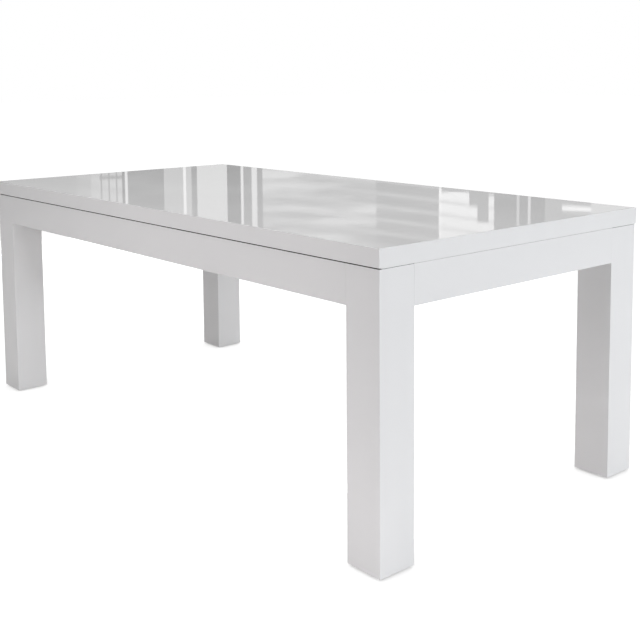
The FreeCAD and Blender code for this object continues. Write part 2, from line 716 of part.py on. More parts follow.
def make_apron_dowels():
    radius = "dowel_diameter / 2"
    start, middle = "leg_width - dowel_length / 2", "apron_thickness / 2"
    dowels = []
    for level in DOWEL_LEVELS:
        for x, y, way in ((start, middle, (1, 0, 0)), (middle, start, (0, 1, 0))):
            dowel = make_turned("apron_dowel", (
                ("0", "0"), (f"{radius} - dowel_chamfer", "0"), (radius, "dowel_chamfer"),
                (radius, "dowel_length - dowel_chamfer"), (f"{radius} - dowel_chamfer", "dowel_length"),
                ("0", "dowel_length"),
            ))
            place(dowel, *from_corner(x, y), level, points_to=way)
            dowels.append(dowel)
    mirror_to_corners("apron_dowels", dowels)


def make_cleat_screws():
    """Flat head screws through the cleats into the aprons."""
    inner_face = "apron_thickness + cleat_width"
    places = [
        (f"{FRAME_LENGTH} / 2 - {share} * ({FRAME_LENGTH} / 2 - {CLEAT_START})", inner_face, (0, -1, 0))
        for share in LONG_CLEAT_SCREW_SHARES
    ] + [
        (inner_face, f"{FRAME_WIDTH} / 2 - {share} * ({FRAME_WIDTH} / 2 - {CLEAT_START})", (-1, 0, 0))
        for share in SHORT_CLEAT_SCREW_SHARES
    ]
    screws = []
    for x, y, way in places:
        screw = flat_head_screw("cleat_screw", "cleat_screw_length")
        place(screw, *from_corner(x, y), CLEAT_MIDDLE, points_to=way)
        screws.append(screw)
    mirror_to_corners("cleat_screws", screws)


def make_top_screws():
    """Flat head screws up through the cleats into the slab's edge strips."""
    middle = "apron_thickness + cleat_width / 2"
    places = [
        (f"{FRAME_LENGTH} / 2 - {share} * ({FRAME_LENGTH} / 2 - {CLEAT_START})", middle)
        for share in LONG_TOP_SCREW_SHARES
    ] + [
        (middle, f"{FRAME_WIDTH} / 2 - {share} * ({FRAME_WIDTH} / 2 - {CLEAT_START})")
        for share in SHORT_TOP_SCREW_SHARES
    ]
    screws = []
    for x, y in places:
        screw = flat_head_screw("top_screw", "top_screw_length")
        place(screw, *from_corner(x, y), CLEAT_BOTTOM)
        screws.append(screw)
    mirror_to_corners("top_screws", screws)


def make_angle_screws():
    """Pan head screws through the steel angles, into the apron and into the rail."""
    rail_face = f"({FRAME_LENGTH} / 2 - rail_spacing / 2 - rail_thickness / 2)"
    screws = []
    for hole in ANGLE_HOLES:
        for x, y, way in (
            (f"{rail_face} - {hole}", "apron_thickness + angle_thickness", (0, -1, 0)),
            (f"{rail_face} - angle_thickness", f"apron_thickness + {hole}", (1, 0, 0)),
        ):
            screw = pan_head_screw("angle_screw", "short_screw_length")
            place(screw, *from_corner(x, y), ANGLE_MIDDLE, points_to=way)
            screws.append(screw)
    mirror_to_corners("angle_screws", screws)


def make_glide_screws():
    screw = pan_head_screw("glide_screw", "glide_screw_length")
    place(screw, *from_corner("leg_width / 2", "leg_width / 2"), "glide_recess")
    mirror_to_corners("glide_screws", [screw])


def make_table():
    make_top_panel()
    for corner, (side, frame_side, slab_side) in zip(CORNERS, SIDES):
        is_long = frame_side == FRAME_LENGTH
        cleat_shares = LONG_CLEAT_SCREW_SHARES if is_long else SHORT_CLEAT_SCREW_SHARES
        top_shares = LONG_TOP_SCREW_SHARES if is_long else SHORT_TOP_SCREW_SHARES
        make_edge_strip(side, slab_side, top_shares, corner)
        make_apron(side, frame_side, cleat_shares, is_long, corner)
        make_cleat(side, frame_side, cleat_shares, top_shares, corner)
    for corner in CORNERS:
        make_leg(corner)
        make_leg_core(corner)
        make_leg_plug(corner)
        make_glide(corner)
        make_corner_bracket(corner)
    for side, side_x, turn in (("left", -1, 0), ("right", 1, 180)):
        make_cross_strip(side, side_x)
        make_cross_rail(side, side_x, turn)
    # An angle's legs run away from the rail along the apron, and along the rail
    for name, side_x, side_y, turn in (
        ("front_right", 1, -1, 0),
        ("front_left", -1, -1, 90),
        ("back_left", -1, 1, 180),
        ("back_right", 1, 1, 270),
    ):
        make_rail_angle(name, side_x, side_y, turn)
    make_hanger_bolts()
    make_bolt_washers()
    make_bolt_nuts()
    make_bracket_screws()
    make_apron_dowels()
    make_cleat_screws()
    make_top_screws()
    make_angle_screws()
    make_glide_screws()


def export_pieces():
    """Writes each piece to its own file, once the whole document is sound."""
    doc.recompute()
    for item in doc.Objects:
        if "Invalid" in item.State or "Error" in item.State:
            raise RuntimeError(f"{item.Label} failed: {item.State}")
    for piece in nodes:
        if piece.Shape.isNull() or not piece.Shape.isValid() or not piece.Shape.Solids:
            raise RuntimeError(f"{piece.Label} has no sound shape")
    os.makedirs("parts", exist_ok=True)
    for piece in nodes:
        piece.Shape.exportStep(os.path.join("parts", f"{piece.Label}.step"))
        print(f"{piece.Label}: {len(piece.Shape.Solids)} solids, {piece.Shape.Volume:.0f} mm3")
    print(f"{len(nodes)} pieces")


make_table()
export_pieces()
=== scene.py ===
# %% [markdown]
# # A white high-gloss dining table
#
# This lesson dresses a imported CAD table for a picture. The CAD model is the fixed frame: every board,
# bracket and screw is already at its real place, in metres, with the floor at Z = 0. Blender adds what a
# workshop adds last: one seamless lacquered slab over the joined boards of the top, real screw heads and
# threads, and a finish for every surface. The light and the surroundings matter as much as the shapes,
# because a mirror-gloss lacquer mostly shows what stands round it.

# %% Load the frame
import math
import bpy
from mathutils import Euler, Matrix, Vector


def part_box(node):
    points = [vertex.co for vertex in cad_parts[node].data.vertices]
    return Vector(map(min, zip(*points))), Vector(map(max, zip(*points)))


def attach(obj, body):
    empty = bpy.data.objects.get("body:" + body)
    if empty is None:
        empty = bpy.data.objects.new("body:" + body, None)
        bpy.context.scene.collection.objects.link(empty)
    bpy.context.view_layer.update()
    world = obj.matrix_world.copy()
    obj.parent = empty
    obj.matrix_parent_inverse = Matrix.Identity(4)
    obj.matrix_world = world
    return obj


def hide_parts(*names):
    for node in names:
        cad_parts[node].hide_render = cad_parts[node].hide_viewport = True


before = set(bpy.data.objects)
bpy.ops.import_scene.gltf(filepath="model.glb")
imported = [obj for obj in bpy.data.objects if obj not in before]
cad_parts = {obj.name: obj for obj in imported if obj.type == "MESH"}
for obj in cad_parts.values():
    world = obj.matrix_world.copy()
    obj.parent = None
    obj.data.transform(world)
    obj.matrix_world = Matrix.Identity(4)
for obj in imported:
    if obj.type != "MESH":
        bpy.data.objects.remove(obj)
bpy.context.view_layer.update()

# %% [markdown]
# ## The camera
#
# The camera comes first, because it decides which faces have to be good. It stands off the front right
# corner, at the eye height of someone seated. Its lens looks down a little, and the rest of the view is a
# lens shift, as on a camera for buildings: a shift keeps the legs nearly upright in the picture, where a
# steeper tilt would make them lean. The focal length and the row of the optical axis were measured in
# pixels, so they are turned into millimetres and into a share of the picture here.

# %% Camera
PICTURE_PIXELS = 640
FOCAL_PIXELS = 1030
AXIS_ROW = 175
CAMERA_PLACE = (2.595, -2.037, 1.139)
CAMERA_YAW = math.radians(49.36)
CAMERA_PITCH = math.radians(5.6)
CAMERA_ROLL = math.radians(-0.46)


def make_camera():
    """A camera that looks along +Y before it is turned, tipped down and rolled."""
    bpy.ops.object.camera_add(location=CAMERA_PLACE)
    camera = bpy.context.object
    aim = Euler((math.pi / 2 - CAMERA_PITCH, 0, CAMERA_YAW)).to_matrix()
    camera.rotation_euler = (aim @ Matrix.Rotation(CAMERA_ROLL, 3, "Z")).to_euler()
    camera.data.lens = camera.data.sensor_width * FOCAL_PIXELS / PICTURE_PIXELS
    camera.data.shift_y = (AXIS_ROW - PICTURE_PIXELS / 2) / PICTURE_PIXELS
    bpy.context.scene.camera = camera
    return camera


bpy.ops.object.select_all(action="DESELECT")
camera = make_camera()
print("Lens:", round(camera.data.lens, 1), "mm, shift", round(camera.data.shift_y, 3))

# %% [markdown]
# ## Node helpers
#
# Every finish below is a small network of nodes on Object coordinates. The pieces all sit at the origin, so
# a pattern has the same scale in metres on each of them. A few short helpers keep the networks readable.
# The first ones add a node and set its inputs, start a material, and read the place on a piece. The others
# make a noise, spread a value over a ramp or a range, do one sum, lay one tone over another, and turn a
# pattern into relief.

# %% Nodes and materials


def add_node(tree, kind, inputs=None, **settings):
    """Adds a node, sets its properties, and sets or links its inputs by name or number."""
    node = tree.nodes.new(kind)
    for name, value in settings.items():
        setattr(node, name, value)
    for name, value in (inputs or {}).items():
        if isinstance(value, bpy.types.NodeSocket):
            tree.links.new(value, node.inputs[name])
        else:
            node.inputs[name].default_value = value
    return node


def new_material(name):
    """An empty material, with its tree and the socket that takes the surface shader."""
    material = bpy.data.materials.new(name)
    material.use_nodes = True
    tree = material.node_tree
    tree.nodes.clear()
    output = tree.nodes.new("ShaderNodeOutputMaterial")
    return material, tree, output.inputs["Surface"]


def add_place(tree):
    """The place on the piece, in metres."""
    return add_node(tree, "ShaderNodeTexCoord").outputs["Object"]


def add_height(tree, place):
    return add_node(tree, "ShaderNodeSeparateXYZ", {"Vector": place}).outputs["Z"]


def add_stretch(tree, place, scale):
    """A place with a scale of its own for each axis, for patterns that run one way."""
    return add_node(tree, "ShaderNodeMapping", {"Vector": place, "Scale": scale}).outputs["Vector"]


# %% Patterns and tones


def add_noise(tree, place, scale, detail, distortion=0):
    inputs = {"Vector": place, "Scale": scale, "Detail": detail, "Distortion": distortion}
    return add_node(tree, "ShaderNodeTexNoise", inputs).outputs["Fac"]


def add_ramp(tree, factor, stops, interpolation="LINEAR"):
    """A colour ramp with its own stops, each a place from 0 to 1 and a colour or a grey."""
    ramp = add_node(tree, "ShaderNodeValToRGB", {"Fac": factor})
    ramp.color_ramp.interpolation = interpolation
    elements = ramp.color_ramp.elements
    while len(elements) < len(stops):
        elements.new(1)
    for element, (place, colour) in zip(elements, stops):
        element.position = place
        element.color = (*colour, 1) if isinstance(colour, tuple) else (colour, colour, colour, 1)
    return ramp.outputs["Color"]


def add_range(tree, value, low, high, start=0, end=1):
    """Spreads a value that runs from start to end over another range."""
    inputs = {"Value": value, "From Min": start, "From Max": end, "To Min": low, "To Max": high}
    return add_node(tree, "ShaderNodeMapRange", inputs).outputs["Result"]


def add_math(tree, operation, first, second=0, third=0):
    """The result of one sum on values or sockets."""
    return add_node(tree, "ShaderNodeMath", {0: first, 1: second, 2: third}, operation=operation).outputs[0]


def lay_over(tree, below, grey, factor):
    """Lays a grey over a colour, as far as the factor is above zero."""
    inputs = {"Factor": factor, "A": below, "B": (grey, grey, grey, 1)}
    return add_node(tree, "ShaderNodeMix", inputs, data_type="RGBA").outputs["Result"]


def add_bump(tree, height, depth):
    """A relief of a depth in metres."""
    return add_node(tree, "ShaderNodeBump", {"Height": height, "Distance": depth}).outputs["Normal"]


# %% [markdown]
# ## White gloss lacquer
#
# The boards are sprayed with a white polyester lacquer and polished. Up close such a coat isn't a perfect
# mirror: it keeps a very shallow ripple from spraying, which bends reflected lines a little, and a finer
# orange peel. The ripple is a bump of a few hundredths of a millimetre. The white itself varies by about
# one part in a hundred, and the polish by a little more, so neither is a single flat value. There is a
# second version of the coat, which stops at a level. Above it the colour is painted shade, a near-black
# dull grey without shine, and it is what keeps the shadow gap of the long sides dark.

# %% Lacquer
NOISE_RANGE = (0.3, 0.7)
LACQUER_WHITES = ((0.835, 0.836, 0.84), (0.86, 0.86, 0.862))
LACQUER_CLOUD_SCALE = 2.3
LACQUER_ROUGHNESS = (0.015, 0.045)
LACQUER_HAZE_SCALE = 9
LACQUER_RIPPLE_SCALE = 16
LACQUER_RIPPLE_DEPTH = 0.00005
LACQUER_PEEL_SCALE = 260
LACQUER_PEEL_DEPTH = 0.000004
LACQUER_IOR = 1.5
LACQUER_SHINE = 0.5
PAINTED_SHADE_GREY = 0.06
PAINTED_SHADE_DULLNESS = 0.5
PAINTED_SHADE_DEPTH = 0.0003


def make_lacquer(name, painted_shade_level=None):
    """The lacquer, which may stop at a level and have a painted shade above it: a dull near-black grey."""
    material, tree, surface = new_material(name)
    shine = LACQUER_SHINE
    place = add_place(tree)
    cloud = add_noise(tree, place, LACQUER_CLOUD_SCALE, detail=3)
    white = add_ramp(tree, cloud, tuple(zip(NOISE_RANGE, LACQUER_WHITES)))
    haze = add_noise(tree, place, LACQUER_HAZE_SCALE, detail=4)
    polish = add_range(tree, haze, *LACQUER_ROUGHNESS, *NOISE_RANGE)
    # Above the level the colour is painted shade: a near-black grey without shine, which darkens the shadow
    # gap.
    if painted_shade_level is not None:
        painted_shade = add_math(tree, "GREATER_THAN", add_height(tree, place), painted_shade_level)
        white = lay_over(tree, white, PAINTED_SHADE_GREY, painted_shade)
        polish = add_math(tree, "MULTIPLY_ADD", painted_shade, PAINTED_SHADE_DULLNESS, polish)
        shine = add_math(tree, "MULTIPLY_ADD", painted_shade, -LACQUER_SHINE, LACQUER_SHINE)
    waves = add_bump(tree, add_noise(tree, place, LACQUER_RIPPLE_SCALE, detail=1), LACQUER_RIPPLE_DEPTH)
    peel = add_noise(tree, place, LACQUER_PEEL_SCALE, detail=1)
    skin = add_node(tree, "ShaderNodeBump", {"Height": peel, "Distance": LACQUER_PEEL_DEPTH, "Normal": waves})
    shader = add_node(tree, "ShaderNodeBsdfPrincipled", {
        "Base Color": white, "Roughness": polish, "IOR": LACQUER_IOR, "Specular IOR Level": shine,
        "Normal": skin.outputs["Normal"],
    })
    tree.links.new(shader.outputs["BSDF"], surface)
    return material


lacquer = make_lacquer("white_gloss_lacquer")
# The second coat paints shade on the hidden upper edges, to darken the shadow gap of the long sides.
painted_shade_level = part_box("apron_front")[1][2] - PAINTED_SHADE_DEPTH
lacquer_with_painted_shade = make_lacquer("white_gloss_lacquer_with_painted_gap_shade", painted_shade_level)
print("Finishes:", lacquer.name, "and", lacquer_with_painted_shade.name, "above", round(painted_shade_level, 4), "m")

# %% [markdown]
# ## Edit-mode helpers
#
# An operator acts on everything that is selected, and a new primitive is selected all over. So each step
# first clears the selection, and then selects faces or edges in code, by their normal or by where they are.

# %% Edit-mode helpers
NEAR = 1e-5


def pick(piece):
    """Makes a piece the active one and the only one that is selected."""
    bpy.ops.object.select_all(action="DESELECT")
    piece.select_set(True)
    bpy.context.view_layer.objects.active = piece


def start_edit(piece):
    """Opens a piece in edit mode with nothing selected."""
    pick(piece)
    bpy.ops.object.mode_set(mode="EDIT")
    bpy.ops.mesh.select_all(action="DESELECT")


def end_edit():
    bpy.ops.object.mode_set(mode="OBJECT")


def select_parts(piece, kind, wanted):
    """Selects the faces or the edges of the piece in edit mode for which wanted is true."""
    bpy.ops.mesh.select_mode(type=kind)
    bpy.ops.mesh.select_all(action="DESELECT")
    bpy.ops.object.mode_set(mode="OBJECT")
    mesh = piece.data
    for part in mesh.polygons if kind == "FACE" else mesh.edges:
        part.select = wanted(part)
    bpy.ops.object.mode_set(mode="EDIT")


def on_box(point, low, high):
    """Whether a point is one of the corners of a box."""
    return all(min(abs(p - a), abs(p - b)) < NEAR for p, a, b in zip(point, low, high))


# %% [markdown]
# ## The top slab
#
# The real top is a panel with strips glued under its edge, and the lacquer covers the joints, so it reads
# as one thick board. The CAD keeps the panel and the strips apart. The slab here is one mesh over all five:
# a cube at the size of the whole top, with its underside inset and pushed in where the strips leave a
# recess. Its outer edges are bevelled, the lower ones less, so that the shadow gap under them stays crisp.
# A shallow rebate under each long edge makes the gap read as a dark line there, and a low lip under each
# short end narrows it to a faint one. The cube starts at the lips' lower level, and boxes are cut away
# from it, because a bevel would round them. Weighted normals keep the large faces dead flat, because a
# gloss surface would show any bend in the shading.

# %% Boxes and cuts


def box_round(points):
    """The lowest and highest corners of a box round points."""
    low = Vector(min(point[axis] for point in points) for axis in range(3))
    high = Vector(max(point[axis] for point in points) for axis in range(3))
    return low, high


def add_cube(name, low, high):
    """A cube primitive over a box, with its place in its mesh."""
    bpy.ops.object.select_all(action="DESELECT")
    bpy.ops.mesh.primitive_cube_add(size=1, location=(low + high) / 2, scale=high - low)
    piece = bpy.context.object
    piece.name = name
    bpy.ops.object.transform_apply(location=True, rotation=True, scale=True)
    return piece


def apply_boolean(piece, tool, operation):
    """Cuts a piece with a tool, and throws the tool away."""
    pick(piece)
    boolean = piece.modifiers.new("cut", "BOOLEAN")
    boolean.operation = operation
    boolean.solver = "EXACT"
    boolean.object = tool
    bpy.ops.object.modifier_apply(modifier="cut")
    bpy.data.objects.remove(tool)


# %% Shading and finishing
SLAB_SHARP_ANGLE = math.radians(40)


def smooth_by_angle(piece, angle):
    """Smooth shading, except over edges that turn by more than an angle."""
    pick(piece)
    bpy.ops.object.shade_smooth_by_angle(angle=angle)


def flatten_shading(piece):
    """Smooth shading whose normals follow the large faces and break at right angles."""
    smooth_by_angle(piece, SLAB_SHARP_ANGLE)
    weighted = piece.modifiers.new("weighted_normals", "WEIGHTED_NORMAL")
    weighted.keep_sharp = True
    bpy.ops.object.modifier_apply(modifier="weighted_normals")


def finish_piece(piece, material, nodes):
    """Gives a piece its material and its place on the table's body, and hides the CAD nodes that it stands
    for.
    """
    piece.data.materials.clear()
    piece.data.materials.append(material)
    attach(piece, "root")
    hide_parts(*nodes)


# %% Top slab
SLAB_NODES = ["top_panel"] + [f"top_edge_strip_{side}" for side in ("front", "right", "back", "left")]
SLAB_EDGE_ROUND = 0.0016
SLAB_EDGE_SEGMENTS = 5
SLAB_LOWER_ROUND = 0.0005
SLAB_LOWER_SEGMENTS = 3
REBATE_HEIGHT = 0.001
REBATE_DEPTH = 0.008
LIP_HEIGHT = 0.0007
LIP_DEPTH = 0.008
CUT_OVERRUN = 0.002


def cut_below(slab, level, x_range, y_range):
    """Cuts away what the slab has below a level, between two places along X and two along Y."""
    tool_low = Vector((min(x_range), min(y_range), level - LIP_HEIGHT - REBATE_HEIGHT - CUT_OVERRUN))
    tool_high = Vector((max(x_range), max(y_range), level))
    apply_boolean(slab, add_cube("edge_cutter", tool_low, tool_high), "DIFFERENCE")


def make_top_slab():
    rest, high = box_round([corner for node in SLAB_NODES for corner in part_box(node)])
    low = rest - Vector((0, 0, LIP_HEIGHT))
    strip_low, strip_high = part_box("top_edge_strip_front")
    slab = add_cube("top_slab", low, high)
    start_edit(slab)
    select_parts(slab, "FACE", lambda face: face.normal.z < -0.5)
    bpy.ops.mesh.inset(thickness=strip_high.y - strip_low.y)
    recess_depth = strip_high.z - low.z
    bpy.ops.mesh.extrude_region_move(TRANSFORM_OT_translate={"value": (0, 0, recess_depth)})

    def is_upper_or_upright(edge):
        ends = [slab.data.vertices[end].co for end in edge.vertices]
        return all(on_box(end, low, high) for end in ends) and any(end.z > low.z + NEAR for end in ends)

    def is_lower_rim(edge):
        ends = [slab.data.vertices[end].co for end in edge.vertices]
        rim = high - Vector((1, 1, 0)) * (SLAB_EDGE_ROUND + NEAR)
        return all(end.z < low.z + NEAR and (abs(end.x) > rim.x or abs(end.y) > rim.y) for end in ends)

    select_parts(slab, "EDGE", is_upper_or_upright)
    bpy.ops.mesh.bevel(offset=SLAB_EDGE_ROUND, segments=SLAB_EDGE_SEGMENTS, affect="EDGES")
    select_parts(slab, "EDGE", is_lower_rim)
    bpy.ops.mesh.bevel(offset=SLAB_LOWER_ROUND, segments=SLAB_LOWER_SEGMENTS, affect="EDGES")
    end_edit()
    past_end = high.x + CUT_OVERRUN
    past_side = high.y + CUT_OVERRUN
    lip_start = high.x - LIP_DEPTH
    cut_below(slab, rest.z, (-lip_start, lip_start), (-past_side, past_side))
    for side in (-1, 1):
        rebate = (side * (high.y - REBATE_DEPTH), side * past_side)
        cut_below(slab, rest.z + REBATE_HEIGHT, (-past_end, past_end), rebate)
    flatten_shading(slab)
    finish_piece(slab, lacquer, SLAB_NODES)
    return slab


top_slab = make_top_slab()
print("Top slab:", len(top_slab.data.polygons), "faces")

# %% [markdown]
# ## Aprons and legs
#
# These CAD boards already have the right shape: crisp edges with a small rounding, so that a hairline shows
# where an apron meets a leg. They only need the lacquer, and so do the cleats behind the gap, which would
# show as a dark stripe if they were bare wood. The long aprons and the legs get the coat with a painted
# shade on their upper edges, which darkens the shadow gap of the long sides.

# %% Lacquered boards
LACQUERED = ("apron_right", "apron_left", "cleat_front", "cleat_right", "cleat_back", "cleat_left")
# These boards get painted shade on their upper edges, which darkens the shadow gap.
SHADE_PAINTED_ABOVE = (
    "apron_front", "apron_back", "leg_front_left", "leg_front_right", "leg_back_right", "leg_back_left",
)


def dress_node(name, material):
    """Gives a CAD node, whose shape stays as it is, its finish."""
    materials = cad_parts[name].data.materials
    materials.clear()
    materials.append(material)


for name in LACQUERED:
    dress_node(name, lacquer)
for name in SHADE_PAINTED_ABOVE:
    dress_node(name, lacquer_with_painted_shade)
print("Lacquered boards:", len(LACQUERED) + len(SHADE_PAINTED_ABOVE))

# %% [markdown]
# ## Bare wood
#
# The rails, strips and blocks under the top are planed pale hardwood without a finish. Its grain always
# runs along a piece, so there is one wood for each direction, and a board gets the one that follows its
# longest side. A noise that is stretched along the grain gives the broad figure, and a finer one gives the
# fibres.

# %% Bare wood
WOOD_TONES = ((0.32, (0.56, 0.39, 0.235)), (0.5, (0.66, 0.485, 0.31)), (0.68, (0.72, 0.55, 0.37)))
WOOD_ROUGHNESS = (0.5, 0.72)
WOOD_IOR = 1.45
FIGURE_SCALES = (1.6, 34)
FIGURE_WAVER = 0.7
FIBRE_SCALES = (9, 420)
FIBRE_DEPTH = 0.00012
BARE_WOOD = ("top_cross_strip_", "cross_rail_", "leg_core_", "leg_plug_", "apron_dowels")


def along_axis(scales, axis):
    """The scales of a pattern: the first along the axis that the grain follows, the second across it."""
    turned = [scales[1]] * 3
    turned[axis] = scales[0]
    return turned


def make_wood(axis):
    material, tree, surface = new_material(f"bare_wood_along_{'xyz'[axis]}")
    place = add_place(tree)
    broad = add_stretch(tree, place, along_axis(FIGURE_SCALES, axis))
    figure = add_noise(tree, broad, 1, detail=5, distortion=FIGURE_WAVER)
    tone = add_ramp(tree, figure, WOOD_TONES)
    fine = add_stretch(tree, place, along_axis(FIBRE_SCALES, axis))
    fibre = add_noise(tree, fine, 1, detail=3)
    shine = add_range(tree, fibre, *WOOD_ROUGHNESS)
    relief = add_bump(tree, fibre, FIBRE_DEPTH)
    shader = add_node(tree, "ShaderNodeBsdfPrincipled", {
        "Base Color": tone, "Roughness": shine, "IOR": WOOD_IOR, "Normal": relief,
    })
    tree.links.new(shader.outputs["BSDF"], surface)
    return material


def longest_axis(low, high):
    return max(range(3), key=lambda axis: high[axis] - low[axis])


woods = [make_wood(axis) for axis in range(3)]
wooden = [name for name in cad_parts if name.startswith(BARE_WOOD)]
for name in wooden:
    dress_node(name, woods[longest_axis(*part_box(name))])
print("Wooden pieces:", len(wooden))

# %% [markdown]
# ## Zinc-plated steel
#
# The corner brackets, the angles and all fasteners are steel with a thin bright zinc coat. The coat is a
# metal with a cool tint, and it is never quite even: it clouds, and fine drawing lines show in its shine.

# %% Zinc
ZINC_TONES = ((0.5, 0.515, 0.54), (0.7, 0.71, 0.72))
ZINC_CLOUD_SCALE = 55
ZINC_ROUGHNESS = (0.22, 0.46)
ZINC_LINE_SCALES = (60, 60, 2400)
ZINC_LINE_DEPTH = 0.00001
STEEL_PLATES = ("corner_bracket_", "rail_angle_")


def make_zinc():
    material, tree, surface = new_material("zinc_steel")
    place = add_place(tree)
    cloud = add_noise(tree, place, ZINC_CLOUD_SCALE, detail=4)
    tone = add_ramp(tree, cloud, tuple(zip(NOISE_RANGE, ZINC_TONES)))
    lines = add_noise(tree, add_stretch(tree, place, ZINC_LINE_SCALES), 1, detail=2)
    shine = add_range(tree, lines, *ZINC_ROUGHNESS)
    relief = add_bump(tree, lines, ZINC_LINE_DEPTH)
    shader = add_node(tree, "ShaderNodeBsdfPrincipled", {
        "Base Color": tone, "Metallic": 1, "Roughness": shine, "Normal": relief,
    })
    tree.links.new(shader.outputs["BSDF"], surface)
    return material


zinc = make_zinc()
plates = [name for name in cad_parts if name.startswith(STEEL_PLATES)]
for name in plates:
    dress_node(name, zinc)
print("Steel plates:", len(plates))

# %% [markdown]
# ## Turned pieces and threads
#
# Screws, washers and glides are turned pieces. Each starts as one vertex, which is extruded from point to
# point into half of its section, and the section is spun round the axis. A thread is drawn the same way:
# the section of one turn, swept up a helix by a Screw modifier, and cut off square at both ends. A piece that
# was cut is then cleared of slivers, and the parts of a fastener are joined.

# %% Turning
WELD = 1e-6


def draw_section(name, points):
    """A line of edges through points of radius and level, left open in edit mode."""
    bpy.ops.object.select_all(action="DESELECT")
    bpy.ops.mesh.primitive_plane_add(size=1)
    piece = bpy.context.object
    piece.name = name
    bpy.ops.object.mode_set(mode="EDIT")
    bpy.ops.mesh.select_mode(type="VERT")
    bpy.ops.mesh.select_all(action="SELECT")
    bpy.ops.mesh.merge(type="CENTER")
    bpy.ops.transform.translate(value=(points[0][0], 0, points[0][1]))
    for (radius, level), (next_radius, next_level) in zip(points, points[1:]):
        step = (next_radius - radius, 0, next_level - level)
        bpy.ops.mesh.extrude_vertices_move(TRANSFORM_OT_translate={"value": step})
    return piece


def weld_and_close():
    """Merges what meets and turns all faces outwards, in edit mode."""
    bpy.ops.mesh.select_all(action="SELECT")
    bpy.ops.mesh.remove_doubles(threshold=WELD)
    bpy.ops.mesh.normals_make_consistent(inside=False)
    end_edit()


def turn_section(name, points, steps=32):
    """Spins a section round the Z axis into a closed turned piece."""
    piece = draw_section(name, points)
    bpy.ops.mesh.select_all(action="SELECT")
    bpy.ops.mesh.spin(steps=steps, angle=2 * math.pi, center=(0, 0, 0), axis=(0, 0, 1))
    weld_and_close()
    return piece


# %% Threading
SPARE_TURNS = 4


def cut_thread(name, core, crest, pitch, start, end, steps=14):
    """A helical thread between two levels, with square closed ends."""
    turn = ((core, start - 2 * pitch), (crest, start - 1.5 * pitch), (core, start - pitch))
    piece = draw_section(name, turn)
    end_edit()
    helix = piece.modifiers.new("helix", "SCREW")
    helix.screw_offset = pitch
    helix.iterations = math.ceil((end - start) / pitch) + SPARE_TURNS
    helix.steps = steps
    helix.render_steps = steps
    bpy.ops.object.modifier_apply(modifier="helix")
    start_edit(piece)
    bpy.ops.mesh.select_all(action="SELECT")
    bpy.ops.mesh.remove_doubles(threshold=WELD)
    for level, outwards in ((start, -1), (end, 1)):
        bpy.ops.mesh.select_all(action="SELECT")
        bpy.ops.mesh.bisect(
            plane_co=(0, 0, level), plane_no=(0, 0, outwards), use_fill=True, clear_outer=True,
            threshold=WELD,
        )
    weld_and_close()
    return piece


def taper_point(piece, start, end, tip_share=0.1):
    """Draws the end of a thread in to a point."""
    for vertex in piece.data.vertices:
        if vertex.co.z > start:
            share = max((end - vertex.co.z) / (end - start), tip_share)
            vertex.co.x *= share
            vertex.co.y *= share


# %% Cleaning and joining
SLIVER_WIDTH = 5e-6


def clear_slivers(piece):
    """Splits a cut piece into triangles and takes out those without a width."""
    start_edit(piece)
    bpy.ops.mesh.select_all(action="SELECT")
    bpy.ops.mesh.remove_doubles(threshold=WELD)
    bpy.ops.mesh.quads_convert_to_tris(quad_method="BEAUTY", ngon_method="BEAUTY")
    bpy.ops.mesh.dissolve_degenerate(threshold=SLIVER_WIDTH)
    end_edit()


def join_pieces(name, pieces):
    """Joins pieces into the first one, with their places in its mesh."""
    bpy.ops.object.select_all(action="DESELECT")
    for piece in pieces:
        piece.select_set(True)
    bpy.context.view_layer.objects.active = pieces[0]
    bpy.ops.object.join()
    bpy.ops.object.transform_apply(location=True, rotation=True, scale=True)
    pieces[0].name = name
    return pieces[0]


# %% [markdown]
# ## Where the fasteners sit
#
# A CAD group of fasteners is one mesh of loose triangles. A copy of it is welded and split into its
# separate solids, and each solid tells where a detailed fastener goes. A screw lies along an axis, and its
# point is the end with the fewest vertices. A bolt, washer or nut at a corner lies on the diagonal that
# runs in from that corner.

# %% Solids of a group


def split_solids(node):
    """The separate solids of a CAD group, as lists of their points."""
    copy = bpy.data.objects.new("solids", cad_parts[node].data.copy())
    bpy.context.scene.collection.objects.link(copy)
    start_edit(copy)
    bpy.ops.mesh.select_all(action="SELECT")
    bpy.ops.mesh.remove_doubles(threshold=NEAR)
    bpy.ops.mesh.separate(type="LOOSE")
    end_edit()
    solids = []
    for part in list(bpy.context.selected_objects):
        solids.append([vertex.co.copy() for vertex in part.data.vertices])
        bpy.data.objects.remove(part)
    return solids


# %% Ways and places


def screw_way(points):
    """The way a CAD screw points."""
    low, high = box_round(points)
    axis = longest_axis(low, high)
    at_low = sum(point[axis] < low[axis] + NEAR for point in points)
    at_high = sum(point[axis] > high[axis] - NEAR for point in points)
    way = Vector((0, 0, 0))
    way[axis] = 1 if at_high < at_low else -1
    return way


def inward_way(points):
    """The level diagonal from the nearest corner of the table to its middle."""
    return Vector((-math.copysign(1, points[0].x), -math.copysign(1, points[0].y), 0)).normalized()


def axis_start(points, way):
    """Where the axis of a turned solid enters it, and how long the solid is."""
    middle = sum(points, Vector()) / len(points)
    along = [point.dot(way) for point in points]
    return middle + way * (min(along) - middle.dot(way)), max(along) - min(along)


def across(points, start, way):
    """The largest radius of a turned solid."""
    return max(((point - start) - way * (point - start).dot(way)).length for point in points)


# %% Copies
COPY_TURN_DEGREES = 37


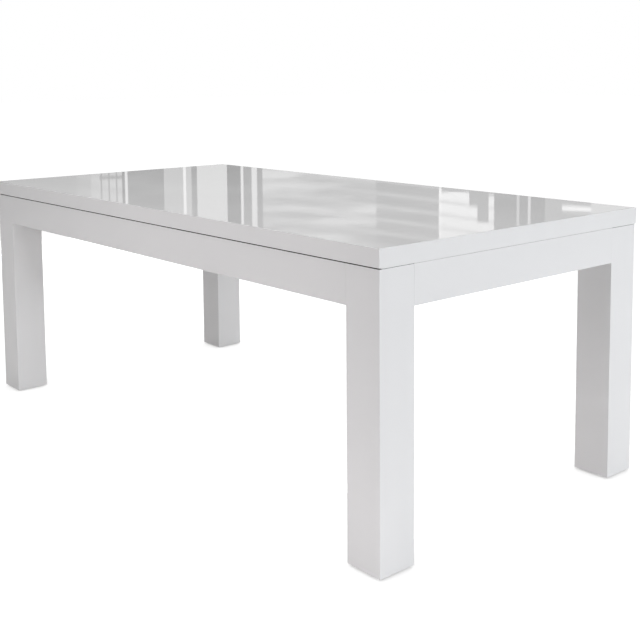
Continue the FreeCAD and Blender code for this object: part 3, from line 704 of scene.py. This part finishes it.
def copy_to_places(master, name, places, node):
    """Puts a copy of the master at each start and way, each turned a little further, and joins them."""
    copies = []
    for number, (start, way) in enumerate(places):
        copy = master.copy()
        copy.data = master.data.copy()
        bpy.context.scene.collection.objects.link(copy)
        aim = Vector((0, 0, 1)).rotation_difference(way).to_matrix()
        spin = Matrix.Rotation(math.radians(COPY_TURN_DEGREES * number), 3, "Z")
        copy.matrix_world = Matrix.Translation(start) @ (aim @ spin).to_4x4()
        copies.append(copy)
    bpy.data.objects.remove(master)
    piece = join_pieces(name, copies)
    finish_piece(piece, zinc, [node])
    print(f"{name}: {len(places)} copies, {len(piece.data.polygons)} faces")


# %% [markdown]
# ## Wood screws
#
# Two kinds hold the frame: pan heads on the steel plates and the glides, and flat heads sunk into the
# cleats. Both have a cross recess. The head is turned, and two tapered wedges are cut out of it for the
# recess. The thread is a separate closed helix that starts inside the head, as the two never show apart.

# %% Screw heads
SCREW_CORE_RADIUS = 0.0013
SCREW_CREST_RADIUS = 0.002
PAN_HEAD_HEIGHT = 0.0024
HEAD_PROFILES = {
    "pan": ((0, 0), (0.45, 0.02), (0.72, 0.13), (0.9, 0.34), (0.98, 0.62), (1, 0.85), (0.97, 1)),
    "flat": ((0, 0), (0.97, 0), (1, 0.06), (1, 0.14)),
}
STUB_EXCESS = 0.0002
STUB_LENGTH = 0.001
RECESS_SPAN = 0.0044
RECESS_WIDTH = 0.0009
RECESS_DEPTH = 0.0017
RECESS_FLOOR_SHARE = 0.45


def turn_head(kind, radius):
    """A head whose outer face is at level zero, with a short stub of the shank under it."""
    height = PAN_HEAD_HEIGHT if kind == "pan" else radius - SCREW_CREST_RADIUS
    rim = [(radius * out, height * down) for out, down in HEAD_PROFILES[kind]]
    stub = SCREW_CORE_RADIUS + STUB_EXCESS
    end = height + STUB_LENGTH
    return turn_section("head", rim + [(stub, height), (stub, end), (0, end)]), height


def cut_cross_recess(head):
    """Cuts two crossed wedges, narrower at the bottom, out of a head."""
    for turn in (0, math.pi / 2):
        bpy.ops.object.select_all(action="DESELECT")
        wedge_size = (RECESS_SPAN, RECESS_WIDTH, 2 * RECESS_DEPTH)
        bpy.ops.mesh.primitive_cube_add(size=1, rotation=(0, 0, turn), scale=wedge_size)
        wedge = bpy.context.object
        bpy.ops.object.transform_apply(location=True, rotation=True, scale=True)
        start_edit(wedge)
        select_parts(wedge, "FACE", lambda face: face.normal.z > 0.5)
        share = RECESS_FLOOR_SHARE
        bpy.ops.transform.resize(value=(share, share, 1), center_override=(0, 0, RECESS_DEPTH))
        end_edit()
        apply_boolean(head, wedge, "DIFFERENCE")


# %% Wood screws
SCREW_PITCH = 0.0018
SCREW_POINT = 0.004
TURNED_SHARP_ANGLE = math.radians(35)
SCREW_SETS = (
    ("bracket_screws", "pan"), ("angle_screws", "pan"), ("glide_screws", "pan"), ("cleat_screws", "flat"),
    ("top_screws", "flat"),
)


def make_screws(node, kind):
    solids = split_solids(node)
    ways = [screw_way(points) for points in solids]
    starts = [axis_start(points, way) for points, way in zip(solids, ways)]
    length = starts[0][1]
    head, seat = turn_head(kind, across(solids[0], starts[0][0], ways[0]))
    cut_cross_recess(head)
    clear_slivers(head)
    thread = cut_thread("thread", SCREW_CORE_RADIUS, SCREW_CREST_RADIUS, SCREW_PITCH, seat, length)
    taper_point(thread, length - SCREW_POINT, length)
    screw = join_pieces("screw", [head, thread])
    smooth_by_angle(screw, TURNED_SHARP_ANGLE)
    places = [(start, way) for (start, _), way in zip(starts, ways)]
    copy_to_places(screw, node.replace("screws", "screw_set"), places, node)


for node, kind in SCREW_SETS:
    make_screws(node, kind)

# %% [markdown]
# ## Hanger bolts, washers and nuts
#
# Each leg is drawn into its corner by two hanger bolts. One end has a coarse wood thread and stays in the
# leg, and the other has a machine thread for a washer and a nut. The nut is a hexagon that is cut by a
# turned ring: the ring gives it the bore and the curved chamfer lines on its corners.

# %% Places on the diagonals


def diagonal_places(node):
    """The starts and ways of the pieces in the corners, with the length and radius of one."""
    solids = split_solids(node)
    ways = [inward_way(points) for points in solids]
    starts = [axis_start(points, way) for points, way in zip(solids, ways)]
    radius = across(solids[0], starts[0][0], ways[0])
    return [(start, way) for (start, _), way in zip(starts, ways)], starts[0][1], radius


# %% Hanger bolts
BOLT_RADIUS = 0.004
BOLT_WOOD_END = 0.045
BOLT_THREAD_START = 0.054
BOLT_POINT = 0.01
BOLT_TAPER = 0.004
BOLT_STEPS = 20
WOOD_THREAD = {"core": 0.0029, "crest": BOLT_RADIUS, "pitch": 0.0032, "steps": BOLT_STEPS}
MACHINE_THREAD = {"core": 0.00335, "crest": BOLT_RADIUS, "pitch": 0.00125, "steps": BOLT_STEPS}
EDGE_EASE = 0.0003


def make_bolts():
    places, length, radius = diagonal_places("hanger_bolts")
    waist_start, waist_end = BOLT_WOOD_END - BOLT_TAPER, BOLT_THREAD_START + EDGE_EASE
    waist = turn_section("waist", (
        (0, waist_start), (WOOD_THREAD["core"], waist_start), (radius, BOLT_WOOD_END),
        (radius, BOLT_THREAD_START), (MACHINE_THREAD["core"], waist_end), (0, waist_end),
    ))
    tail = cut_thread("tail", start=BOLT_THREAD_START, end=length, **MACHINE_THREAD)
    wood = cut_thread("wood_end", start=length - BOLT_WOOD_END, end=length, **WOOD_THREAD)
    taper_point(wood, length - BOLT_POINT, length)
    wood.rotation_euler = (math.pi, 0, 0)
    wood.location = (0, 0, length)
    bolt = join_pieces("bolt", [waist, tail, wood])
    smooth_by_angle(bolt, TURNED_SHARP_ANGLE)
    copy_to_places(bolt, "hanger_bolt_set", places, "hanger_bolts")


make_bolts()

# %% Washers
WASHER_PLAY = 0.0005
RING_STEPS = 48


def make_washers():
    places, height, radius = diagonal_places("bolt_washers")
    bore = BOLT_RADIUS + WASHER_PLAY
    ring = (
        (bore, EDGE_EASE), (bore + EDGE_EASE, 0), (radius - EDGE_EASE, 0), (radius, EDGE_EASE),
        (radius, height - EDGE_EASE), (radius - EDGE_EASE, height), (bore + EDGE_EASE, height),
        (bore, height - EDGE_EASE), (bore, EDGE_EASE),
    )
    washer = turn_section("washer", ring, steps=RING_STEPS)
    smooth_by_angle(washer, TURNED_SHARP_ANGLE)
    copy_to_places(washer, "bolt_washer_set", places, "bolt_washers")


make_washers()

# %% Nuts
NUT_FACE_SHARE = 0.95
NUT_CHAMFER = 0.0009


def make_nuts():
    places, height, radius = diagonal_places("bolt_nuts")
    bpy.ops.object.select_all(action="DESELECT")
    bpy.ops.mesh.primitive_cylinder_add(vertices=6, radius=radius, depth=height, location=(0, 0, height / 2))
    nut = bpy.context.object
    bpy.ops.object.transform_apply(location=True, rotation=True, scale=True)
    flat = radius * math.cos(math.pi / 6) * NUT_FACE_SHARE
    wide = radius + EDGE_EASE
    bore, mouth = BOLT_RADIUS, BOLT_RADIUS + NUT_CHAMFER
    ring = (
        (bore, NUT_CHAMFER), (mouth, 0), (flat, 0), (wide, NUT_CHAMFER), (wide, height - NUT_CHAMFER),
        (flat, height), (mouth, height), (bore, height - NUT_CHAMFER), (bore, NUT_CHAMFER),
    )
    apply_boolean(nut, turn_section("ring", ring, steps=RING_STEPS), "INTERSECT")
    clear_slivers(nut)
    smooth_by_angle(nut, TURNED_SHARP_ANGLE)
    copy_to_places(nut, "bolt_nut_set", places, "bolt_nuts")


make_nuts()

# %% [markdown]
# ## Nylon glides
#
# A glide under each leg keeps the lacquer off the floor. It is moulded nylon: off-white, a little waxy,
# with a rounded lower rim and a stepped hole for its screw.

# %% Nylon
NYLON_TONES = ((0.77, 0.77, 0.745), (0.83, 0.83, 0.81))
NYLON_CLOUD_SCALE = 90
NYLON_ROUGHNESS = (0.35, 0.6)
NYLON_GRAIN_SCALE = 1500
NYLON_GRAIN_DEPTH = 0.00002
NYLON_IOR = 1.53


def make_nylon():
    material, tree, surface = new_material("nylon")
    place = add_place(tree)
    cloud = add_noise(tree, place, NYLON_CLOUD_SCALE, detail=3)
    tone = add_ramp(tree, cloud, tuple(zip(NOISE_RANGE, NYLON_TONES)))
    shine = add_range(tree, cloud, *NYLON_ROUGHNESS)
    relief = add_bump(tree, add_noise(tree, place, NYLON_GRAIN_SCALE, detail=1), NYLON_GRAIN_DEPTH)
    shader = add_node(tree, "ShaderNodeBsdfPrincipled", {
        "Base Color": tone, "Roughness": shine, "IOR": NYLON_IOR, "Normal": relief,
    })
    tree.links.new(shader.outputs["BSDF"], surface)
    return material


nylon = make_nylon()
print("Finish:", nylon.name)

# %% Glides
GLIDE_RIM_ROUND = 0.0016
GLIDE_RIM_STEPS = 6
GLIDE_RECESS_RADIUS = 0.0041
GLIDE_RECESS_DEPTH = 0.0032
GLIDE_BORE_RADIUS = 0.0021
GLIDE_STEPS = 64


def make_glide(node):
    low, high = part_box(node)
    rim, height = (high.x - low.x) / 2, high.z - low.z
    corner = [
        (rim - GLIDE_RIM_ROUND * (1 - math.sin(turn)), GLIDE_RIM_ROUND * (1 - math.cos(turn)))
        for turn in (math.pi / 2 * step / GLIDE_RIM_STEPS for step in range(GLIDE_RIM_STEPS + 1))
    ]
    section = [
        (GLIDE_BORE_RADIUS, GLIDE_RECESS_DEPTH), (GLIDE_RECESS_RADIUS, GLIDE_RECESS_DEPTH),
        (GLIDE_RECESS_RADIUS, EDGE_EASE), (GLIDE_RECESS_RADIUS + EDGE_EASE, 0), *corner,
        (rim, height - EDGE_EASE), (rim - EDGE_EASE, height), (GLIDE_BORE_RADIUS, height),
        (GLIDE_BORE_RADIUS, GLIDE_RECESS_DEPTH),
    ]
    glide = turn_section(node.replace("glide", "moulded_glide"), section, steps=GLIDE_STEPS)
    glide.location = ((low.x + high.x) / 2, (low.y + high.y) / 2, low.z)
    pick(glide)
    bpy.ops.object.transform_apply(location=True, rotation=True, scale=True)
    smooth_by_angle(glide, TURNED_SHARP_ANGLE)
    finish_piece(glide, nylon, [node])


glides = [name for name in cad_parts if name.startswith("glide_") and name != "glide_screws"]
for name in glides:
    make_glide(name)
print("Glides:", len(glides))

# %% [markdown]
# ## Floor
#
# The floor is a plain pale sheet. To the camera and in reflections it glows almost white by itself, and
# only the rest comes from the light that falls on it, so the table's shadow stays but is faint. Close to
# the feet the glow drops, by the share of the open sky that an Ambient Occlusion node finds there: this is
# a painted contact shadow, the thin dark line where a leg stands. To all other light the floor is an
# ordinary matt surface, and lights the table from below only as much as a real pale floor would.

# %% Floor
FLOOR_SIZE = 80
FLOOR_COLOUR = (0.8, 0.8, 0.8, 1)
FLOOR_SHADOW_COLOUR = (0.45, 0.45, 0.45, 1)
PAINTED_SHADOW_REACH = 0.3
PAINTED_SHADOW_GLOWS = (0.4, 0.97)
WHITE = (1, 1, 1, 1)


def add_seen_rays(tree):
    """A factor of 1 for rays that see the background: from the camera, in gloss and through glass."""
    path = add_node(tree, "ShaderNodeLightPath").outputs
    seen = add_math(tree, "MAXIMUM", path["Is Camera Ray"], path["Is Glossy Ray"])
    return add_math(tree, "MAXIMUM", seen, path["Is Transmission Ray"])


def make_floor():
    bpy.ops.object.select_all(action="DESELECT")
    bpy.ops.mesh.primitive_plane_add(size=FLOOR_SIZE)
    floor = bpy.context.object
    floor.name = "floor"
    material, tree, surface = new_material("pale_floor")
    matt = add_node(tree, "ShaderNodeBsdfDiffuse", {"Color": FLOOR_COLOUR}).outputs["BSDF"]
    faint = add_node(tree, "ShaderNodeBsdfDiffuse", {"Color": FLOOR_SHADOW_COLOUR}).outputs["BSDF"]
    # A painted contact shadow: the glow drops where an Ambient Occlusion node finds little open sky.
    open_share_for_painted_shadow = add_node(tree, "ShaderNodeAmbientOcclusion", {"Distance": PAINTED_SHADOW_REACH}).outputs["AO"]
    strength = add_range(tree, open_share_for_painted_shadow, *PAINTED_SHADOW_GLOWS)
    glow = add_node(tree, "ShaderNodeEmission", {"Color": WHITE, "Strength": strength}).outputs["Emission"]
    pale = add_node(tree, "ShaderNodeAddShader", {0: faint, 1: glow}).outputs["Shader"]
    mixed = add_node(tree, "ShaderNodeMixShader", {"Fac": add_seen_rays(tree), 1: matt, 2: pale})
    tree.links.new(mixed.outputs["Shader"], surface)
    floor.data.materials.append(material)


make_floor()
print("Floor:", FLOOR_SIZE, "m wide")

# %% [markdown]
# ## The room in the gloss
#
# Seen at a low angle, the top mirrors the wall behind it: tall windows with slats, posts and bare wall. A
# ring of wall stands round the studio for this. It shows only in reflections, so it neither lights the
# table nor hides the white background. Upright bands run round the ring, and the whole set of bands
# repeats, so that the gloss has something to show from every side. Slats cross the bands, a little out of
# level, as a room's lines are when they run away from the eye. Soft streaks lie between them, one window has
# thin bars, a low dark screen stands before another, and one strip of bright sky shows. Each of these has a
# share for every stretch of the ring. Near the floor the wall fades to white, so that it meets the floor
# without an edge.

# %% Slats and streaks
SLAT_PITCH = 0.12
SLAT_RISE = 0.75
SLAT_START = 0.5
SLAT_PROFILE = ((0, 0), (0.6, 0), (0.76, 1), (0.84, 1), (1, 0))
SLAT_SHARES = ((0, 0.1), (0.185, 0.3), (0.247, 0), (0.448, 0.5), (0.61, 0.7), (0.704, 0.8), (0.78, 0.1))
HAZE_STRETCH = (0.9, 0.9, 8)
HAZE_SCALE = 1.4
HAZE_PROFILE = ((0.44, 0), (0.64, 1))
HAZE_SHARES = ((0, 0.1), (0.205, 0.4), (0.247, 0.11), (0.448, 0.75), (0.61, 0.12), (0.704, 0), (0.78, 0.1))


def add_slats(tree, share, height):
    """Pale slats that climb round the ring."""
    sloped = add_math(tree, "MULTIPLY_ADD", share, -SLAT_RISE, height)
    step = add_math(tree, "FRACT", add_math(tree, "MULTIPLY_ADD", sloped, 1 / SLAT_PITCH, SLAT_START))
    slats = add_ramp(tree, step, SLAT_PROFILE)
    return add_math(tree, "MULTIPLY", slats, add_ramp(tree, share, SLAT_SHARES, "CONSTANT"))


def add_haze(tree, place, share):
    """Long soft streaks, as of light on a far wall."""
    noise = add_noise(tree, add_stretch(tree, place, HAZE_STRETCH), HAZE_SCALE, detail=3)
    streaks = add_ramp(tree, noise, HAZE_PROFILE)
    return add_math(tree, "MULTIPLY", streaks, add_ramp(tree, share, HAZE_SHARES, "CONSTANT"))


# %% Pane bars, screen and sky
PANE_WIDTH = 0.0105
PANE_HEIGHT = 0.42
PANE_BAR_SHARES = (0.17, 0.07)
PANE_SHARES = ((0, 0), (0.215, 0.75), (0.247, 0))
SCREEN_TOPS = ((0, 0), (0.704, 1.44), (0.744, 1.56), (0.757, 1.71), (0.771, 1.46), (0.78, 0))
GLEAM_HEIGHT = 1.555
GLEAM_REACH = 0.02
GLEAM_SHARES = ((0, 0), (0.874, 1), (0.9125, 0))


def add_panes(tree, share, height):
    """Thin bars between the panes of a window, upright and level."""
    upright, level = (
        add_math(tree, "LESS_THAN", add_math(tree, "FRACT", add_math(tree, "DIVIDE", place, pitch)), bar)
        for place, pitch, bar in zip((share, height), (PANE_WIDTH, PANE_HEIGHT), PANE_BAR_SHARES)
    )
    bars = add_math(tree, "MAXIMUM", upright, level)
    return add_math(tree, "MULTIPLY", bars, add_ramp(tree, share, PANE_SHARES, "CONSTANT"))


def add_screen(tree, share, height):
    """A low screen with a stepped top."""
    return add_math(tree, "LESS_THAN", height, add_ramp(tree, share, SCREEN_TOPS, "CONSTANT"))


def add_gleam(tree, share, height):
    """One low strip of bright sky."""
    strip = add_math(tree, "COMPARE", height, GLEAM_HEIGHT, GLEAM_REACH)
    return add_math(tree, "MULTIPLY", strip, add_ramp(tree, share, GLEAM_SHARES, "CONSTANT"))


# %% Wall finish
WALL_REPEATS = 6
WALL_TURN = 0.972
WALL_BANDS = (
    (0, 0.52), (0.185, 0.56), (0.205, 0.64), (0.247, 0.28), (0.251, 0.95), (0.256, 0.33), (0.307, 0.62),
    (0.334, 1.1), (0.338, 0.66), (0.347, 0.36), (0.352, 0.82), (0.395, 0.24), (0.415, 0.95), (0.418, 0.36),
    (0.432, 0.9), (0.44, 0.34), (0.448, 0.52), (0.61, 0.44), (0.7, 1.2), (0.704, 1.12), (0.78, 0.36),
    (0.812, 0.7), (0.815, 0.36), (0.827, 0.85), (0.831, 0.36), (0.848, 0.54), (0.9125, 0.85),
)
HAZE_GLOW = 0.95
SLAT_GLOW = 0.76
PANE_GLOW = 0.3
SCREEN_GLOW = 0.46
GLEAM_GLOW = 1.3
SKIRT_GLOW = 1
SKIRT_LEVELS = (0.5, 1)


def paint_wall():
    material, tree, surface = new_material("window_wall")
    place = add_place(tree)
    height = add_height(tree, place)
    turn = add_node(tree, "ShaderNodeTexGradient", {"Vector": place}, gradient_type="RADIAL").outputs["Fac"]
    turned = add_math(tree, "MULTIPLY_ADD", turn, -WALL_REPEATS, WALL_REPEATS * WALL_TURN)
    share = add_math(tree, "FRACT", turned)
    picture = add_ramp(tree, share, WALL_BANDS, "CONSTANT")
    picture = lay_over(tree, picture, HAZE_GLOW, add_haze(tree, place, share))
    picture = lay_over(tree, picture, SLAT_GLOW, add_slats(tree, share, height))
    picture = lay_over(tree, picture, PANE_GLOW, add_panes(tree, share, height))
    picture = lay_over(tree, picture, SCREEN_GLOW, add_screen(tree, share, height))
    picture = lay_over(tree, picture, GLEAM_GLOW, add_gleam(tree, share, height))
    picture = lay_over(tree, picture, SKIRT_GLOW, add_range(tree, height, 1, 0, *SKIRT_LEVELS))
    glow = add_node(tree, "ShaderNodeEmission", {"Color": picture, "Strength": 1})
    tree.links.new(glow.outputs["Emission"], surface)
    return material


# %% Reflected wall
WALL_RADIUS = 6
WALL_HEIGHT = 8
WALL_SIDES = 128


def make_wall():
    bpy.ops.object.select_all(action="DESELECT")
    bpy.ops.mesh.primitive_cylinder_add(
        vertices=WALL_SIDES, radius=WALL_RADIUS, depth=WALL_HEIGHT, location=(0, 0, WALL_HEIGHT / 2),
        end_fill_type="NOTHING",
    )
    wall = bpy.context.object
    wall.name = "reflected_wall"
    bpy.ops.object.transform_apply(location=True, rotation=True, scale=True)
    wall.data.materials.append(paint_wall())
    wall.visible_camera = False
    wall.visible_diffuse = False
    wall.visible_shadow = False


make_wall()
print("Wall:", WALL_REPEATS * len(WALL_BANDS), "bands")

# %% [markdown]
# ## Light
#
# Soft panels, as in a plain photo studio, and a dim white sky that fills everything. A large panel overhead
# lights the top. A large panel far to the right makes the short side the brightest one. The long side
# gets less: a panel in front, a little above the top, so that the slab shades what stands under it. Two
# low strips stand for light that bounces off the floor, and lift the legs towards their feet. A panel at
# the back left does for the views from behind what the right one does for the front. No panel shows to
# the camera or in the gloss. Rays that see the background find plain white.

# %% Sky
SKY_COLOUR = (1, 0.985, 0.985, 1)
SKY_STRENGTH = 0.17


def make_sky():
    world = bpy.data.worlds.new("studio_sky")
    bpy.context.scene.world = world
    world.use_nodes = True
    tree = world.node_tree
    tree.nodes.clear()
    output = tree.nodes.new("ShaderNodeOutputWorld")
    sky = add_node(tree, "ShaderNodeBackground", {"Color": SKY_COLOUR, "Strength": SKY_STRENGTH})
    white = add_node(tree, "ShaderNodeBackground", {"Color": WHITE, "Strength": 1})
    mixed = add_node(tree, "ShaderNodeMixShader", {
        "Fac": add_seen_rays(tree), 1: sky.outputs["Background"], 2: white.outputs["Background"],
    })
    tree.links.new(mixed.outputs["Shader"], output.inputs["Surface"])


make_sky()
print("Sky strength:", SKY_STRENGTH)

# %% Panels
PLAIN_WHITE = (1, 1, 1)
COOL_WHITE = (0.955, 0.975, 1)
WARM_WHITE = (1, 0.96, 0.97)
PANELS = {
    "right_panel": {
        "place": (5.6, 0.8, 0.95), "aim": (0, 0, 0.5), "size": (3.2, 1.2), "power": 127, "colour": COOL_WHITE,
    },
    "front_panel": {
        "place": (0.35, -2.2, 1.25), "aim": (0.35, 0, 0.5), "size": (1.6, 0.8), "power": 11.4,
        "colour": WARM_WHITE,
    },
    "front_bounce": {
        "place": (1.05, -0.95, 0.04), "aim": (0.89, -0.45, 0.04), "size": (0.8, 0.06), "power": 0.5,
        "colour": WARM_WHITE,
    },
    "inner_bounce": {
        "place": (0.72, -0.25, 0.03), "aim": (0.85, 0.39, 0.08), "size": (0.6, 0.06), "power": 0.65,
        "colour": WARM_WHITE,
    },
    "back_panel": {
        "place": (-4, 1.4, 0.7), "aim": (0, 0, 0.4), "size": (2.6, 1.2), "power": 62, "colour": PLAIN_WHITE,
    },
    "ceiling_panel": {
        "place": (0.2, 0, 3.6), "aim": (0, 0, 0.76), "size": (4, 3), "power": 63, "colour": PLAIN_WHITE,
    },
}


def make_panel(name, panel):
    """A rectangular area lamp that lights the table without showing itself."""
    bpy.ops.object.light_add(type="AREA", location=panel["place"])
    lamp = bpy.context.object
    lamp.name = name
    way = Vector(panel["aim"]) - Vector(panel["place"])
    lamp.rotation_euler = way.to_track_quat("-Z", "Y").to_euler()
    lamp.data.shape = "RECTANGLE"
    lamp.data.size, lamp.data.size_y = panel["size"]
    lamp.data.energy = panel["power"]
    lamp.data.color = panel["colour"]
    lamp.visible_camera = False
    lamp.visible_glossy = False


bpy.ops.object.select_all(action="DESELECT")
for name, panel in PANELS.items():
    make_panel(name, panel)
print("Panels:", ", ".join(PANELS))
bpy.context.scene.view_settings.view_transform = "Standard"
